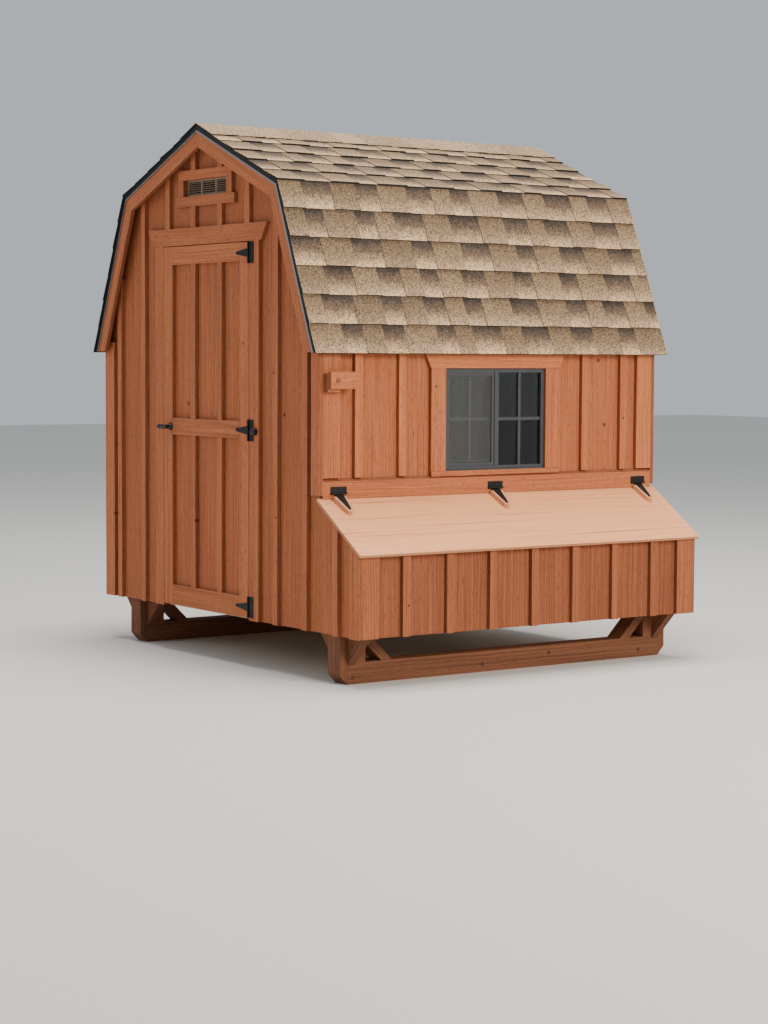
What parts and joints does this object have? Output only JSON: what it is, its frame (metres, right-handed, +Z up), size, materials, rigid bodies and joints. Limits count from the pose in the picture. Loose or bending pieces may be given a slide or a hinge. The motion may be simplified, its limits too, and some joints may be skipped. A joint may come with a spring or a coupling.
{
  "type": "chicken coop",
  "caption": "Small gambrel-roofed hen house on skids, with a full-height door, a window, vents and a side nest box under a hinged lid.",
  "frame": {"origin": "on the ground, in the middle of the overall box", "axes": "+Z up; -Y out of the gable with the door; +X out of the wall with the window and the nest box; hen door in the -X wall"},
  "size_m": [2.177, 1.927, 2.3593],
  "materials": {
    "stained_siding": "semi-transparent red-brown stain on rough-sawn panel",
    "stained_trim": "red-brown stain on rough-sawn boards",
    "framing_lumber": "planed softwood, unfinished",
    "skid_lumber": "stained construction timber",
    "plywood": "unfinished plywood",
    "lid_board": "light tan stain",
    "pad_wood": "light tan stain",
    "roof_shingle": "mineral granules on asphalt, weathered tan blend",
    "black_metal": "satin black powder coat",
    "charcoal_metal": "dark grey coating",
    "window_glass": "clear",
    "vent_metal": "dull, weathered",
    "black_plastic": "satin",
    "zinc_steel": "zinc plated"
  },
  "bodies": {
    "coop": {"skids": "skid_lumber", "skid_ends": "skid_lumber", "skid_braces": "skid_lumber", "floor_joists": "framing_lumber", "floor_deck": "plywood", "nest_wall_frame": "framing_lumber", "hen_wall_frame": "framing_lumber", "door_wall_frame": "framing_lumber", "latch_stud": "framing_lumber", "back_wall_frame": "framing_lumber", "rafters": "framing_lumber", "roof_decking": "plywood", "roof_shingles": "roof_shingle", "ridge_cap": "roof_shingle", "drip_edges": "black_metal", "rake_boards": "stained_trim", "door_wall_siding": "stained_siding", "back_wall_siding": "stained_siding", "nest_wall_siding": "stained_siding", "hen_wall_siding": "stained_siding", "nest_box_panels": "stained_siding", "nest_dividers": "plywood", "door_wall_battens": "stained_trim", "back_wall_battens": "stained_trim", "side_wall_battens": "stained_trim", "corner_boards": "stained_trim", "nest_box_trims": "stained_trim", "hinge_rail": "stained_trim", "door_casing": "stained_trim", "window_casing": "stained_trim", "hen_door_casing": "stained_trim", "vent_trims": "stained_trim", "vent_louvres": "vent_metal", "window_frame": "charcoal_metal", "window_pane": "window_glass", "window_screen": "charcoal_metal", "door_hinge_plates": "black_metal", "hen_hinge_plates": "black_metal", "lid_hinge_plates": "black_metal", "door_stop_ball": "black_plastic", "button_block": "stained_trim", "button_bolts": "zinc_steel", "roost_bars": "framing_lumber"},
    "door": {"door_panel": "stained_siding", "door_rails_and_stiles": "stained_trim", "door_battens": "stained_trim", "door_hinge_straps": "black_metal", "handle_rose": "black_metal"},
    "door_latch": {"t_handle": "black_metal"},
    "nest_box_lid": {"nest_lid": "lid_board", "lid_pads": "pad_wood", "lid_hinge_straps": "black_metal"},
    "window_sash": {"sash_frame": "charcoal_metal", "sash_glass": "window_glass"},
    "lid_turn_button": {"lid_button": "stained_trim"},
    "hen_door": {"hen_door_panel": "stained_siding", "hen_door_rails": "stained_trim", "hen_door_cleats": "framing_lumber", "hen_hinge_straps": "black_metal"},
    "hen_turn_button": {"hen_button": "stained_trim"}
  },
  "joints": [
    {"name": "door_hinge", "type": "hinge", "parent": "coop", "child": "door", "pos_m": [0.2375, -0.915, 1.024], "axis": [0, 0, 1], "range_deg": [0, 115]},
    {"name": "latch_spindle", "type": "hinge", "parent": "door", "child": "door_latch", "pos_m": [-0.431, -0.9105, 1.022], "axis": [0, -1, 0], "range_deg": [0, 90]},
    {"name": "lid_hinge", "type": "hinge", "parent": "coop", "child": "nest_box_lid", "pos_m": [0.786, 0.0045, 0.77855], "axis": [0, -1, 0], "range_deg": [0, 126]},
    {"name": "sash_slide", "type": "slide", "parent": "coop", "child": "window_sash", "axis": [0, 1, 0], "range_m": [0, 0.232]},
    {"name": "lid_button_pivot", "type": "hinge", "parent": "coop", "child": "lid_turn_button", "pos_m": [0.8195, -0.8495, 1.245], "axis": [-1, 0, 0], "range_deg": [0, 90]},
    {"name": "hen_door_hinge", "type": "hinge", "parent": "coop", "child": "hen_door", "pos_m": [-1.053, -0.2455, 0.3195], "axis": [0, -1, 0], "range_deg": [0, 129]},
    {"name": "hen_button_pivot", "type": "hinge", "parent": "coop", "child": "hen_turn_button", "pos_m": [-1.0565, -0.2455, 0.8565], "axis": [-1, 0, 0], "range_deg": [0, 90]}
  ]
}
